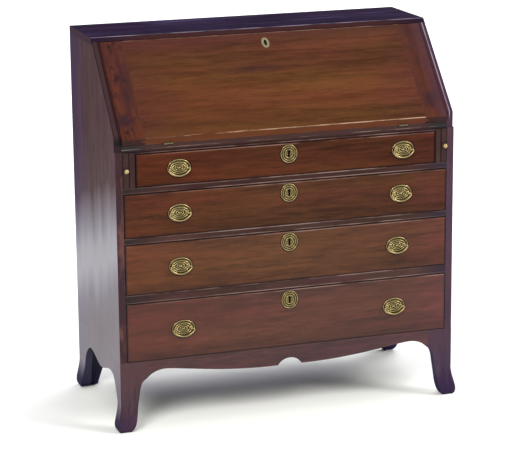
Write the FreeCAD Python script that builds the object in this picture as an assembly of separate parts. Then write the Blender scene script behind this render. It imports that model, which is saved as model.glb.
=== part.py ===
import FreeCAD, Part
import math
import os

from FreeCAD import Placement, Rotation, Vector

# Slant-front desk with four drawers, two lopers and a fitted inside. Lengths are in millimetres.
# The desk stands on z = 0, x = 0 is its middle and y = 0 is the plane of its drawer fronts, with y
# growing towards the back. At the end every piece is moved so that the origin lies on the floor
# under the middle of the desk.

# Overall form
desk_width = 1010.0
desk_height = 1091.0
case_depth = 475.0
slope_degrees = 47.5
slope_rise = 251.1  # height of the slope, from the fall's lower edge to the top

# Case boards
side_thickness = 21.0
top_thickness = 21.0
top_nose = 16.3  # length of the top's front edge that shows above the fall, measured on the slope
bottom_thickness = 18.0
back_thickness = 12.0
back_lap = 10.0  # how far the back boards lie in the rabbets of the sides
back_board_count = 4
case_floor_height = 203.0
step_depth = 9.0  # small step in the front edge of each side, under the slope
step_rise = 3.0  # from the ledge over the top drawer up to that step
arris_radius = 1.2

# Drawer openings and the rails between them, from the top drawer down. The openings share the height
# that the rails leave, in these proportions.
opening_proportions = (94.2, 125.2, 145.0, 170.0)
blade_heights = (18.1, 18.3, 25.0)
blade_depth = 60.0
top_rail_thickness = 4.0
runner_width = 60.0
runner_thickness = 18.0

# Running gaps
rest_gap = 0.3  # under what slides, and over the ledge that the open fall comes down to
slide_gap = 1.0  # beside the drawer sides
reveal = 1.4  # seen round a drawer front
reveal_below = 1.0

# Drawers
front_thickness = 21.0
drawer_side_thickness = 12.0
drawer_back_thickness = 12.0
drawer_bottom_thickness = 7.0
drawer_bottom_rise = 9.0
groove_depth = 6.0
drawer_end_room = 23.0  # between a closed drawer and the back boards
drawer_side_drop = 5.0  # the sides end this far below the opening's top
drawer_back_drop = 12.0
tail_length = 12.0
tail_pitch = 38.0
tail_tip_width = 26.0
tail_root_width = 20.0

# Locks
lock_width = 60.0
lock_height = 46.0
lock_depth = 9.0
bolt_width = 18.0
bolt_thickness = 4.0
bolt_height = 24.0
bolt_throw = 5.0
bolt_inset = 0.5  # the bolt's end lies this far inside the edge that it leaves
bolt_gap = 0.3
mortise_room = 1.0
keyhole_radius = 3.5
keyhole_slot_width = 4.4
keyhole_eye_rise = 5.0  # the round eye lies this far over the middle of its plate
keyhole_slot_drop = 8.5

# Oval pulls and escutcheons, set by hand: insets are from the outer faces of the case
left_pull_insets = (182.0, 182.0, 182.0, 187.0)
right_pull_insets = (159.0, 165.0, 175.0, 184.0)
pull_half_width = 33.5
pull_half_height = 25.5
plate_thickness = 1.5
plate_rim_width = 3.5
plate_rim_height = 1.5
boss_half_width = 16.0
boss_half_height = 11.5
boss_height = 2.5
post_offset = 21.7
post_ball_radius = 4.2
post_stem_radius = 3.5
post_reach = 9.0  # from the drawer front to the bail's axis
shank_radius = 2.5
shank_gap = 0.1
nut_radius = 6.5
nut_thickness = 4.0
bail_wire_radius = 2.1
bail_bore_gap = 0.06
bail_half_width = 33.0
bail_drop = 21.2
bail_corner_radius = 4.0
bail_pin_reach = 3.6  # how far the bail's ends pass the middle of the posts
escutcheon_half_width = 25.2
escutcheon_half_height = 26.6
escutcheon_drop = 31.0  # centre below the drawer front's upper edge
escutcheon_ring_half_width = 13.5
escutcheon_ring_half_height = 14.5
escutcheon_ring_width = 2.5

# Lopers
loper_thickness = 18.4
loper_gap = 0.3
loper_end_room = 33.0
partition_thickness = 17.5
knob_radius = 7.5
knob_reach = 15.0
knob_neck_radius = 4.0
knob_shank_length = 14.0
knob_rim_share = 0.6  # of a knob's reach, from its foot to the widest part of its head
knob_foot_lip = 1.0

# Fall
fall_thickness = 18.0
fall_undercut = 9.0  # the inner face reaches this much lower than the outer face
fall_end_gap = 1.2
fall_side_gap = 1.0
hinge_line_gap = 0.3
cleat_width = 66.0
tongue_length = 10.0
tongue_thickness = 6.0
fall_escutcheon_half_width = 11.5
fall_escutcheon_half_height = 17.5
fall_escutcheon_thickness = 2.0
fall_escutcheon_drop = 35.0
fall_lock_depth = 10.0
stop_rail_lap = 14.0  # how far the stop rail reaches behind the fall
stop_rail_thickness = 12.0
stop_rail_back = 20.0

# Fall hinges
hinge_inset = 155.0  # middle of each hinge from the outer face of the case
hinge_width = 27.0
hinge_leaf_length = 28.0
hinge_leaf_thickness = 2.0
knuckle_radius = 3.5
knuckle_room = 0.5
knuckle_gap = 0.3
hinge_pin_radius = 1.5
hinge_pin_gap = 0.05

# Base: skirt and flared feet
foot_facing_length = 77.0
rear_facing_length = 107.0
rear_bracket_length = 100.0
front_seam_height = 152.0  # lower edge where the skirt meets the front facings
side_seam_height = 148.0
rear_seam_height = 137.0
ankle_width = 49.0  # in front view
shoulder_curve = ((66.5, 144.0), (55.0, 107.0))  # width left above the ankle, and at what height
toe_width = 26.5
toe_rounding = ((43.5, 34.0), (36.0, 13.0))  # width left below the ankle, and at what height
ankle_depth = 36.5  # in side view
rear_ankle_depth = 61.0
rear_ankle_height = 44.0
left_rear_toe = ((57.0, 24.0), (45.0, 9.0), (26.0, 0.0))  # depth left below the ankle, and at what height
right_rear_toe = ((39.0, 24.0), (24.0, 9.0), (12.0, 0.0))  # worn smaller than the left one
left_bracket_toe = 28.0  # width of the rear bracket on the floor, beside its facing
right_bracket_toe = 3.0
rear_bracket_ankle = 52.0
ankle_height = 68.0
flare = 11.0
flare_start = 92.0
flare_curve = ((2.5, 62.0), (7.5, 40.0))  # how far out the facing stands, and at what height
toe_height = 22.0
toe_tuck = 6.0
toe_curl = (9.5, 7.0)  # point of the curve that turns in under the toe
skirt_drop_height = 147.0
skirt_curve = ((375.0, 2.0), (255.0, 13.0), (160.0, 26.0), (125.0, 28.0))  # inset, height above the drop
centre_arch_half_width = 36.5
centre_arch_rise = 20.0
side_arch_height = 154.0
side_arch_inset = 105.0
rear_arch_inset = 145.0
side_drop_height = 132.0
block_clearance = 2.0
block_floor_gap = 112.0
rear_block_width = 26.0

# Fitted inside
gallery_gap = 13.0  # between the stop rail and the front of the pigeonholes
gallery_board = 8.0
hole_count = 8
small_drawer_count = 4
small_drawer_height = 75.0
small_drawer_wall = 7.0
small_drawer_front = 12.0
small_drawer_bottom = 4.0
small_drawer_end_room = 9.0
small_drawer_gap = 0.8
small_knob_radius = 7.0
small_knob_reach = 13.0
small_knob_neck = 3.5
valance_height = 36.0
valance_arch_rise = 14.0
valance_inset = 3.0

# Values that follow from these
tiny = 0.01
half_width = desk_width / 2
inner_half = half_width - side_thickness
back_front = case_depth - back_thickness
slope_angle = math.radians(slope_degrees)
slope_cos = math.cos(slope_angle)
slope_sin = math.sin(slope_angle)

slope_foot_height = desk_height - slope_rise
slope_length = slope_rise / slope_sin
nose_start = slope_length - top_nose
fall_end = nose_start - fall_end_gap

pin_y = fall_thickness * slope_sin - fall_undercut * slope_cos
pin_z = slope_foot_height - fall_thickness * slope_cos - fall_undercut * slope_sin
bed_top = pin_z
bed_underside = bed_top - fall_thickness
ledge_height = bed_underside - rest_gap

rails_upward = tuple(reversed(blade_heights)) + (top_rail_thickness,)
opening_share = (ledge_height - case_floor_height - sum(rails_upward)) / sum(opening_proportions)
floors = []
ceilings = []
level = case_floor_height
for proportion, rail in zip(reversed(opening_proportions), rails_upward):
    floors.insert(0, level)
    ceilings.insert(0, level + proportion * opening_share)
    level = ceilings[0] + rail

fall_half = inner_half - fall_side_gap
side_top = desk_height - top_thickness
channel_half = inner_half - loper_thickness - 2 * loper_gap  # where the loper's channel ends inwards
partition_half = channel_half - partition_thickness
opening_halves = (partition_half, inner_half, inner_half, inner_half)
seam_x = half_width - foot_facing_length
rear_seam_y = case_depth - rear_facing_length
bottom_underside = case_floor_height - bottom_thickness
drawer_length = back_front - drawer_end_room
loper_length = back_front - loper_end_room
lock_face = front_thickness - lock_depth
bolt_y = lock_face + (lock_depth - bolt_thickness) / 2

pieces = {}


# Basic shapes

def block(x0, x1, y0, y1, z0, z1):
    """A square block between two corners."""
    return Part.makeBox(x1 - x0, y1 - y0, z1 - z0, Vector(x0, y0, z0))


def rod(radius, start, direction, length):
    return Part.makeCylinder(radius, length, start, direction)


def in_side_view(y, z):
    return Vector(0, y, z)


def in_front_view(x, z):
    return Vector(x, 0, z)


def in_plan(x, y):
    return Vector(x, y, 0)


def straight(*points):
    """Straight runs from point to point of an outline."""
    return [Part.makeLine(a, b) for a, b in zip(points, points[1:])]


def smooth(*points):
    """One smooth curve through points of an outline."""
    curve = Part.BSplineCurve()
    curve.interpolate(list(points))
    return [curve.toShape()]


def arc(start, middle, end):
    return [Part.Arc(start, middle, end).toShape()]


def sheet(edges):
    """The flat face inside a closed outline."""
    return Part.Face(Part.Wire(Part.__sortEdges__(edges)))


def polygon(*points):
    return sheet(straight(*points, points[0]))


def oval(half_wide, half_tall, x, y, z, thickness):
    """An upright oval disc whose front face is at y, going back by its thickness."""
    flat = Part.makeCircle(1, Vector(0, 0, 0), Vector(0, 1, 0))
    face = Part.Face(Part.Wire(flat))
    scale = FreeCAD.Matrix()
    scale.scale(half_wide, 1, half_tall)
    disc = face.transformGeometry(scale).extrude(Vector(0, thickness, 0))
    return disc.translated(Vector(x, y, z))


def mirrored(shape):
    """The same piece on the other side of the desk."""
    return shape.mirror(Vector(0, 0, 0), Vector(1, 0, 0))


def eased(solid, keep):
    """The solid with a small round on each straight edge whose box keep accepts."""
    edges = [edge for edge in solid.Edges if keep(edge.BoundBox)]
    return solid.makeFillet(arris_radius, edges)


def group(solids):
    return Part.makeCompound(list(solids))


def turned(*edges):
    """A piece turned on a lathe about the y axis, from its half section in plan."""
    return sheet(list(edges)).revolve(Vector(0, 0, 0), Vector(0, 1, 0), 360)


# The slope has its own flat frame: x as before, y up the slope from its foot, z out of the fall.
# There the fall's outer face is z = 0 and the hinge axis is y = -fall_undercut, z = -fall_thickness.
slope_place = Placement(Vector(0, 0, slope_foot_height), Rotation(Vector(1, 0, 0), slope_degrees))


def on_slope(shape):
    placed = shape.copy()
    placed.Placement = slope_place.multiply(placed.Placement)
    return placed


def slope_spot(up, out):
    """A point of the side view given up the slope and out of it."""
    spot = slope_place.multVec(Vector(0, up, out))
    return in_side_view(spot.y, spot.z)


def keyhole(x, z, y0, y1):
    """Round hole with a slot below it, running along y."""
    eye_z = z + keyhole_eye_rise
    round_hole = rod(keyhole_radius, Vector(x, y0, eye_z), Vector(0, 1, 0), y1 - y0)
    half_slot = keyhole_slot_width / 2
    return round_hole.fuse(block(x - half_slot, x + half_slot, y0, y1, z - keyhole_slot_drop, eye_z))


# Case: sides, top, bottom and back

top_under_nose = (slope_spot(nose_start, 0).z - side_top) / slope_cos
nose_tip = slope_spot(nose_start, 0)
nose_root = slope_spot(nose_start, -top_under_nose)


def case_side():
    """The right side: slanted above, stepped under the slope, with a shaped lower edge."""
    step_height = ledge_height + step_rise
    slope_start = slope_foot_height + step_depth * slope_sin / slope_cos
    outline = straight(
        in_side_view(foot_facing_length, side_seam_height),
        in_side_view(foot_facing_length, case_floor_height),
        in_side_view(0, case_floor_height),
        in_side_view(0, step_height),
        in_side_view(step_depth, step_height),
        in_side_view(step_depth, slope_start),
        nose_tip,
        nose_root,
        in_side_view(case_depth, side_top),
        in_side_view(case_depth, case_floor_height),
        in_side_view(rear_seam_y, case_floor_height),
        in_side_view(rear_seam_y, rear_seam_height),
    )
    drop_y = (side_arch_inset + case_depth - rear_arch_inset) / 2
    outline += smooth(
        in_side_view(rear_seam_y, rear_seam_height),
        in_side_view(case_depth - rear_arch_inset, side_arch_height),
        in_side_view(drop_y, side_drop_height),
        in_side_view(side_arch_inset, side_arch_height),
        in_side_view(foot_facing_length, side_seam_height),
    )
    board = sheet(outline).extrude(Vector(side_thickness, 0, 0)).translated(Vector(inner_half, 0, 0))
    board = eased(board, lambda box: box.YMax < tiny and box.XLength < tiny and box.XMax > inner_half)
    rabbet = block(inner_half, inner_half + back_lap, back_front, case_depth, case_floor_height, side_top)
    return board.cut(rabbet)


pieces["right_side"] = case_side()
pieces["left_side"] = mirrored(pieces["right_side"])

# The fall's bolt slides up the slope into a mortise behind the top's front edge
fall_bolt_out = -fall_thickness + (fall_lock_depth - bolt_thickness) / 2
fall_mortise = on_slope(block(
    -bolt_width / 2 - mortise_room, bolt_width / 2 + mortise_room,
    fall_end, fall_end + bolt_throw + 2 * mortise_room,
    fall_bolt_out - mortise_room, fall_bolt_out + bolt_thickness + mortise_room,
))

top_outline = polygon(
    nose_tip,
    slope_spot(slope_length, 0),
    in_side_view(case_depth, desk_height),
    in_side_view(case_depth, side_top),
    nose_root,
)
top_board = top_outline.extrude(Vector(desk_width, 0, 0)).translated(Vector(-half_width, 0, 0))
top_board = eased(top_board, lambda box: box.ZMin > desk_height - tiny and box.YMax < case_depth - tiny
                  and box.XLength > tiny)
pieces["top_board"] = top_board.cut(fall_mortise)

pieces["bottom_board"] = block(
    -inner_half, inner_half, front_thickness, case_depth, bottom_underside, case_floor_height)

back_board_height = (side_top - case_floor_height) / back_board_count
back_half = inner_half + back_lap
pieces["back_boards"] = group(
    block(-back_half, back_half, back_front, case_depth,
          case_floor_height + row * back_board_height, case_floor_height + (row + 1) * back_board_height)
    for row in range(back_board_count))

# Rail that stops the fall: it hangs under the top, laps behind the fall and takes the lock's bolt
rail_lap = nose_start - stop_rail_lap
rail_inner = -fall_thickness - rest_gap
rail_heel = slope_spot(rail_lap, rail_inner - stop_rail_thickness)
rail_back = nose_root.y + stop_rail_back
stop_rail_outline = polygon(
    nose_root,
    slope_spot(nose_start, rail_inner),
    slope_spot(rail_lap, rail_inner),
    rail_heel,
    in_side_view(rail_back, rail_heel.z + stop_rail_thickness),
    in_side_view(rail_back, side_top),
)
stop_rail = stop_rail_outline.extrude(Vector(2 * inner_half, 0, 0)).translated(Vector(-inner_half, 0, 0))
pieces["fall_stop_rail"] = stop_rail.cut(fall_mortise)


# Writing bed and fall hinges

hinge_xs = (hinge_inset - half_width, half_width - hinge_inset)


def knuckle(x0, x1, radius):
    """A round bar on the hinge axis."""
    return rod(radius, Vector(x0, pin_y, pin_z), Vector(1, 0, 0), x1 - x0)


def knuckle_ends(x):
    """The ends of a hinge's three knuckles, from left to right."""
    left = x - hinge_width / 2
    third = hinge_width / 3
    return [(left + i * third + knuckle_gap / 2, left + (i + 1) * third - knuckle_gap / 2) for i in range(3)]


def knuckle_space(x):
    half = hinge_width / 2
    return knuckle(x - half, x + half, knuckle_radius + knuckle_room)


bed = block(-inner_half, inner_half, pin_y + hinge_line_gap, back_front, bed_underside, bed_top)
bed_leaves = []
hinge_pins = []
for x in hinge_xs:
    half = hinge_width / 2
    plate = block(x - half, x + half, pin_y + hinge_line_gap, pin_y + hinge_leaf_length,
                  bed_top - hinge_leaf_thickness, bed_top)
    bed = bed.cut(knuckle_space(x)).cut(plate)
    first, middle, last = knuckle_ends(x)
    leaf = plate.fuse([knuckle(*first, knuckle_radius), knuckle(*last, knuckle_radius)])
    leaf = leaf.cut(knuckle(middle[0] - knuckle_gap, middle[1] + knuckle_gap, knuckle_radius + knuckle_room))
    pin = knuckle(x - half, x + half, hinge_pin_radius)
    bed_leaves.append(leaf.cut(pin))
    hinge_pins.append(pin)
pieces["writing_bed"] = bed
pieces["bed_hinge_leaves"] = group(bed_leaves + hinge_pins)


# Fall, modelled flat and then set on the slope

field_half = fall_half - cleat_width
tongue_low = -(fall_thickness + tongue_thickness) / 2
tongue_high = tongue_low + tongue_thickness


def outer_arris(box):
    return box.ZMin > -tiny


def undercut_at(out):
    """Where the fall's lower end lies on the slope, at a distance out of the slope."""
    return hinge_line_gap + fall_undercut * out / fall_thickness


def fall_slab(x0, x1, low, high):
    """A slice of the fall between two x and two distances out of the slope, with its undercut end."""
    outline = polygon(
        in_side_view(undercut_at(low), low), in_side_view(fall_end, low),
        in_side_view(fall_end, high), in_side_view(undercut_at(high), high))
    return outline.extrude(Vector(x1 - x0, 0, 0)).translated(Vector(x0, 0, 0))


field = fall_slab(-field_half, field_half, -fall_thickness, 0)
field = eased(field, lambda box: outer_arris(box) and box.XLength > tiny)
tongued_half = field_half + tongue_length
field = field.fuse(fall_slab(-tongued_half, tongued_half, tongue_low, tongue_high))
field = field.removeSplitter()

cleat = fall_slab(field_half, fall_half, -fall_thickness, 0)
cleat = eased(cleat, lambda box: outer_arris(box) and (box.XLength > tiny or box.XMin > fall_half - tiny))
cleat = cleat.cut(field)

# Lock in the fall's inner face, with its bolt leaving the upper edge
fall_lock = block(-lock_width / 2, lock_width / 2, fall_end - lock_height, fall_end,
                  -fall_thickness, -fall_thickness + fall_lock_depth)
fall_bolt_end = fall_end - bolt_inset
fall_bolt = block(-bolt_width / 2, bolt_width / 2, fall_bolt_end - bolt_height, fall_bolt_end,
                  fall_bolt_out, fall_bolt_out + bolt_thickness)
fall_bolt_channel = block(
    -bolt_width / 2 - bolt_gap, bolt_width / 2 + bolt_gap,
    fall_bolt_end - bolt_height - bolt_gap, fall_end,
    fall_bolt_out - bolt_gap, fall_bolt_out + bolt_thickness + bolt_gap)

# Small oval let in flush round the fall's keyhole
fall_key_up = fall_end - fall_escutcheon_drop
upright_to_flat = Placement(Vector(0, fall_key_up, 0), Rotation(Vector(1, 0, 0), -90))


def laid_flat(shape):
    """Turns an upright brass, made round the y axis, onto the fall's outer face."""
    flat = shape.copy()
    flat.Placement = upright_to_flat.multiply(flat.Placement)
    return flat


fall_oval = laid_flat(
    oval(fall_escutcheon_half_width, fall_escutcheon_half_height, 0, 0, 0, fall_escutcheon_thickness))
fall_keyhole = laid_flat(keyhole(0, 0, -mortise_room, fall_thickness - fall_lock_depth))

def slope_bar(x0, x1, radius):
    """A round bar on the hinge axis, in the slope's frame."""
    return rod(radius, Vector(x0, -fall_undercut, -fall_thickness), Vector(1, 0, 0), x1 - x0)


leaf_recesses = []
fall_leaves = []
for x in hinge_xs:
    half = hinge_width / 2
    plate = block(x - half, x + half, undercut_at(-fall_thickness), hinge_leaf_length - fall_undercut,
                  -fall_thickness, -fall_thickness + hinge_leaf_thickness)
    leaf_recesses += [plate, slope_bar(x - half, x + half, knuckle_radius + knuckle_room)]
    middle = knuckle_ends(x)[1]
    bed_knuckle_spaces = [
        slope_bar(x - half, middle[0], knuckle_radius + knuckle_room),
        slope_bar(middle[1], x + half, knuckle_radius + knuckle_room),
    ]
    bore = slope_bar(x - half, x + half, hinge_pin_radius + hinge_pin_gap)
    leaf = plate.cut(bed_knuckle_spaces).fuse(slope_bar(*middle, knuckle_radius)).cut(bore)
    fall_leaves.append(on_slope(leaf.removeSplitter()))

field = field.cut(leaf_recesses + [fall_lock, fall_oval, fall_keyhole])
pieces["fall_panel"] = on_slope(field)
pieces["fall_cleats"] = group([on_slope(cleat), on_slope(mirrored(cleat))])
pieces["fall_hinge_leaves"] = group(fall_leaves)
pieces["fall_escutcheon"] = on_slope(fall_oval.cut(fall_keyhole))
pieces["fall_lock"] = on_slope(fall_lock.cut(fall_bolt_channel))
pieces["fall_lock_bolt"] = on_slope(fall_bolt)


# Drawer rails, runners, lopers and their partitions

def front_rail(half, low, high):
    """A rail between the drawers with eased front edges."""
    rail = block(-half, half, 0, blade_depth, low, high)
    if high - low < 4 * arris_radius:
        return rail
    return eased(rail, lambda box: box.YMax < tiny and box.XLength > tiny)


def bolt_mortise(x, ceiling):
    half = bolt_width / 2 + mortise_room
    return block(x - half, x + half, bolt_y - mortise_room, bolt_y + bolt_thickness + mortise_room,
                 ceiling, ceiling + bolt_throw + mortise_room)


rails = [front_rail(partition_half, ceilings[0], ledge_height)]
for blade_height, ceiling in zip(blade_heights, ceilings[1:]):
    rails.append(front_rail(inner_half, ceiling, ceiling + blade_height))
pieces["drawer_rails"] = group(rail.cut(bolt_mortise(0, ceiling)) for rail, ceiling in zip(rails, ceilings))

runners = []
for floor in floors[:-1]:
    runner = block(inner_half - runner_width, inner_half, blade_depth, back_front,
                   floor - runner_thickness, floor)
    runners += [runner, mirrored(runner)]
pieces["drawer_runners"] = group(runners)

partition = block(partition_half, channel_half, 0, back_front, floors[0], ledge_height)
partition = eased(partition, lambda box: box.YMax < tiny and box.ZLength > tiny)
pieces["loper_partitions"] = group([partition, mirrored(partition)])

loper = block(channel_half + loper_gap, inner_half - loper_gap, 0, loper_length,
              floors[0] + rest_gap, ledge_height)
loper = eased(loper, lambda box: box.YMax < tiny)
loper_middle = Vector((channel_half + inner_half) / 2, 0, (floors[0] + ledge_height) / 2)
shank_hole = rod(shank_radius, loper_middle, Vector(0, 1, 0), knob_shank_length)
pieces["right_loper"] = loper.cut(shank_hole)
pieces["left_loper"] = mirrored(pieces["right_loper"])


def turned_knob(radius, reach, neck, shank, shank_length):
    """A turned knob on the y axis: domed head, waisted neck and a shank in the wood."""
    rim = reach * knob_rim_share
    dome = reach - rim
    dome_radius = (radius ** 2 + dome ** 2) / (2 * dome)
    half_turn = math.asin(radius / dome_radius) / 2
    dome_middle = in_plan(dome_radius * math.sin(half_turn),
                          -reach + dome_radius * (1 - math.cos(half_turn)))
    foot = neck + knob_foot_lip
    profile = straight(
        in_plan(0, -reach), in_plan(0, shank_length), in_plan(shank, shank_length), in_plan(shank, 0),
        in_plan(foot, 0))
    profile += arc(in_plan(foot, 0), in_plan(neck, -rim / 2), in_plan(radius, -rim))
    profile += arc(in_plan(radius, -rim), dome_middle, in_plan(0, -reach))
    return turned(*profile)


loper_knob = turned_knob(knob_radius, knob_reach, knob_neck_radius, shank_radius, knob_shank_length)
pieces["right_loper_knob"] = loper_knob.translated(loper_middle)
pieces["left_loper_knob"] = mirrored(pieces["right_loper_knob"])


# Brasses of the drawers, each made round the y axis and then moved to its place

def rimmed_oval(half_wide, half_tall):
    """An oval plate with a raised rim, its back on y = 0."""
    front = -plate_thickness - plate_rim_height
    plate = oval(half_wide, half_tall, 0, front, 0, plate_thickness + plate_rim_height)
    sunk = oval(half_wide - plate_rim_width, half_tall - plate_rim_width, 0, front, 0, plate_rim_height)
    return plate.cut(sunk)


def pull_plate():
    """Oval backplate of a pull with a raised middle and holes for the posts."""
    boss = oval(boss_half_width, boss_half_height, 0, -plate_thickness - boss_height, 0, boss_height)
    plate = rimmed_oval(pull_half_width, pull_half_height).fuse(boss).removeSplitter()
    for x in (-post_offset, post_offset):
        plate = plate.cut(rod(shank_radius + shank_gap, Vector(x, -plate_thickness, 0), Vector(0, 1, 0),
                              plate_thickness))
    return plate


def pull_post(x):
    """Post with a bored ball for the bail and a shank through the drawer front."""
    back = front_thickness + nut_thickness
    shank = rod(shank_radius, Vector(x, -plate_thickness, 0), Vector(0, 1, 0), back + plate_thickness)
    stem = rod(post_stem_radius, Vector(x, -post_reach, 0), Vector(0, 1, 0), post_reach - plate_thickness)
    ball = Part.makeSphere(post_ball_radius, Vector(x, -post_reach, 0))
    bore = rod(bail_wire_radius + bail_bore_gap, Vector(x - 2 * post_ball_radius, -post_reach, 0),
               Vector(1, 0, 0), 4 * post_ball_radius)
    return ball.fuse([stem, shank]).cut(bore)


def pull_nut(x):
    """Round nut on the inside of the drawer front."""
    nut = rod(nut_radius, Vector(x, front_thickness, 0), Vector(0, 1, 0), nut_thickness)
    return nut.cut(rod(shank_radius, Vector(x, front_thickness, 0), Vector(0, 1, 0), nut_thickness))


def bail():
    """Bent wire: a bow below, small bends and two ends turned in along the hinge axis."""
    bow_radius = (bail_half_width ** 2 + bail_drop ** 2) / (2 * bail_drop)
    bow_up = bow_radius - bail_drop
    bend_x = math.sqrt((bow_radius - bail_corner_radius) ** 2 - (bow_up + bail_corner_radius) ** 2)
    reach = bow_radius / (bow_radius - bail_corner_radius)
    bend = Vector(bend_x, 0, -bail_corner_radius)
    bow_middle = Vector(0, 0, bow_up)
    joint = bow_middle + (bend - bow_middle) * reach
    outward = (joint - bend) + Vector(0, 0, bail_corner_radius)
    bend_middle = bend + outward * (bail_corner_radius / outward.Length)
    end = Vector(post_offset - bail_pin_reach, 0, 0)
    across = FreeCAD.Matrix()
    across.scale(-1, 1, 1)
    path = straight(across.multVec(end), Vector(-bend_x, 0, 0))
    path += arc(Vector(-bend_x, 0, 0), across.multVec(bend_middle), across.multVec(joint))
    path += arc(across.multVec(joint), Vector(0, 0, -bail_drop), joint)
    path += arc(joint, bend_middle, Vector(bend_x, 0, 0))
    path += straight(Vector(bend_x, 0, 0), end)
    section = Part.Wire(Part.makeCircle(bail_wire_radius, across.multVec(end), Vector(1, 0, 0)))
    wire = Part.Wire(path).makePipeShell([section], True, False)
    return wire.translated(Vector(0, -post_reach, 0))


def drawer_escutcheon():
    """Oval plate with a raised rim and inner ring round a keyhole."""
    front = -plate_thickness - plate_rim_height
    ring = oval(escutcheon_ring_half_width, escutcheon_ring_half_height, 0, front, 0, plate_rim_height)
    ring = ring.cut(oval(escutcheon_ring_half_width - escutcheon_ring_width,
                         escutcheon_ring_half_height - escutcheon_ring_width, 0, front, 0, plate_rim_height))
    plate = rimmed_oval(escutcheon_half_width, escutcheon_half_height).fuse(ring).removeSplitter()
    return plate.cut(keyhole(0, 0, front, 0))


plate_shape = pull_plate()
bail_shape = bail()
escutcheon_shape = drawer_escutcheon()


# Drawers: front, dovetailed box, brasses, bails, lock and bolt

def drawer_side(half, low, high):
    """The right side board with its dovetails, which run into the back of the front."""
    inner = half - slide_gap - drawer_side_thickness
    outer = half - slide_gap
    board = block(inner, outer, front_thickness, drawer_length, low, high)
    count = int((high - low) // tail_pitch)
    pitch = (high - low) / count
    tails = []
    for i in range(count):
        middle = low + (i + 0.5) * pitch
        tail = polygon(
            in_side_view(front_thickness, middle - tail_root_width / 2),
            in_side_view(front_thickness, middle + tail_root_width / 2),
            in_side_view(front_thickness - tail_length, middle + tail_tip_width / 2),
            in_side_view(front_thickness - tail_length, middle - tail_tip_width / 2),
        )
        tails.append(tail.extrude(Vector(drawer_side_thickness, 0, 0)).translated(Vector(inner, 0, 0)))
    return board.fuse(tails).removeSplitter()


def make_drawer(number, half, floor, ceiling, pull_xs):
    """Adds one drawer's pieces, all at their closed place."""
    name = "drawer_%d" % number
    front_low = floor + reveal_below
    front_high = ceiling - reveal
    front_half = half - reveal
    box_low = floor + rest_gap
    pull_z = (front_low + front_high) / 2
    key_z = front_high - escutcheon_drop

    side = drawer_side(half, box_low, ceiling - drawer_side_drop)
    inner = half - slide_gap - drawer_side_thickness
    bottom_low = floor + drawer_bottom_rise
    bottom_high = bottom_low + drawer_bottom_thickness
    bottom = block(-inner - groove_depth, inner + groove_depth, front_thickness - groove_depth, drawer_length,
                   bottom_low, bottom_high)
    back = block(-inner, inner, drawer_length - drawer_back_thickness, drawer_length,
                 bottom_high, ceiling - drawer_back_drop)
    sides = [side.cut(bottom), mirrored(side).cut(bottom)]

    lock = block(-lock_width / 2, lock_width / 2, lock_face, front_thickness,
                 front_high - lock_height, front_high)
    bolt_end = front_high - bolt_inset
    half_bolt = bolt_width / 2
    bolt = block(-half_bolt, half_bolt, bolt_y, bolt_y + bolt_thickness, bolt_end - bolt_height, bolt_end)
    channel = block(-half_bolt - bolt_gap, half_bolt + bolt_gap, bolt_y - bolt_gap,
                    bolt_y + bolt_thickness + bolt_gap, bolt_end - bolt_height - bolt_gap, front_high)

    front = block(-front_half, front_half, 0, front_thickness, front_low, front_high)
    front = eased(front, lambda box: box.YMax < tiny)
    front = front.cut(sides + [bottom, lock, keyhole(0, key_z, 0, lock_face)])

    brasses = [escutcheon_shape.translated(Vector(0, 0, key_z))]
    for pull_x, hand in zip(pull_xs, ("left", "right")):
        place = Vector(pull_x, 0, pull_z)
        brasses.append(plate_shape.translated(place))
        for x in (-post_offset, post_offset):
            brasses += [pull_post(x).translated(place), pull_nut(x).translated(place)]
            front = front.cut(rod(shank_radius + shank_gap, place + Vector(x, 0, 0), Vector(0, 1, 0),
                                  front_thickness))
        pieces["%s_%s_bail" % (name, hand)] = bail_shape.translated(place)
    pieces[name + "_front"] = front
    pieces[name + "_box"] = group(sides + [back, bottom])
    pieces[name + "_brasses"] = group(brasses)
    pieces[name + "_lock"] = lock.cut(channel)
    pieces[name + "_lock_bolt"] = bolt


for i in range(len(floors)):
    make_drawer(i + 1, opening_halves[i], floors[i], ceilings[i],
                (left_pull_insets[i] - half_width, half_width - right_pull_insets[i]))


# Base: front skirt, feet and glue blocks

def skirt_half(sign):
    """Lower edge of the skirt from the centre arch to the facing on one side."""
    swell = [in_front_view(sign * (half_width - inset), skirt_drop_height + rise)
             for inset, rise in skirt_curve]
    return smooth(
        in_front_view(sign * centre_arch_half_width, skirt_drop_height),
        *swell,
        in_front_view(sign * seam_x, front_seam_height),
    )


skirt_outline = straight(
    in_front_view(-seam_x, front_seam_height), in_front_view(-seam_x, case_floor_height),
    in_front_view(seam_x, case_floor_height), in_front_view(seam_x, front_seam_height))
skirt_outline += skirt_half(1) + skirt_half(-1)
skirt_outline += arc(
    in_front_view(-centre_arch_half_width, skirt_drop_height),
    in_front_view(0, skirt_drop_height + centre_arch_rise),
    in_front_view(centre_arch_half_width, skirt_drop_height))
pieces["front_skirt"] = sheet(skirt_outline).extrude(Vector(0, front_thickness, 0))


def flared_section(spot, thickness):
    """Section of a facing: upright above, sweeping out to a rounded toe. spot places (out, height)."""
    sweep = [spot(out, z) for out, z in flare_curve]
    outline = smooth(
        spot(0, flare_start), *sweep, spot(flare, toe_height), spot(*toe_curl), spot(flare - toe_tuck, 0))
    outline += straight(
        spot(flare - toe_tuck, 0), spot(-thickness, 0), spot(-thickness, case_floor_height),
        spot(0, case_floor_height), spot(0, flare_start))
    return sheet(outline)


def front_section():
    return flared_section(lambda out, z: in_side_view(-out, z), front_thickness)


def side_section():
    return flared_section(lambda out, z: in_front_view(half_width + out, z), side_thickness)


beyond = flare + front_thickness  # far enough past the corner to cover the flare


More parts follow.
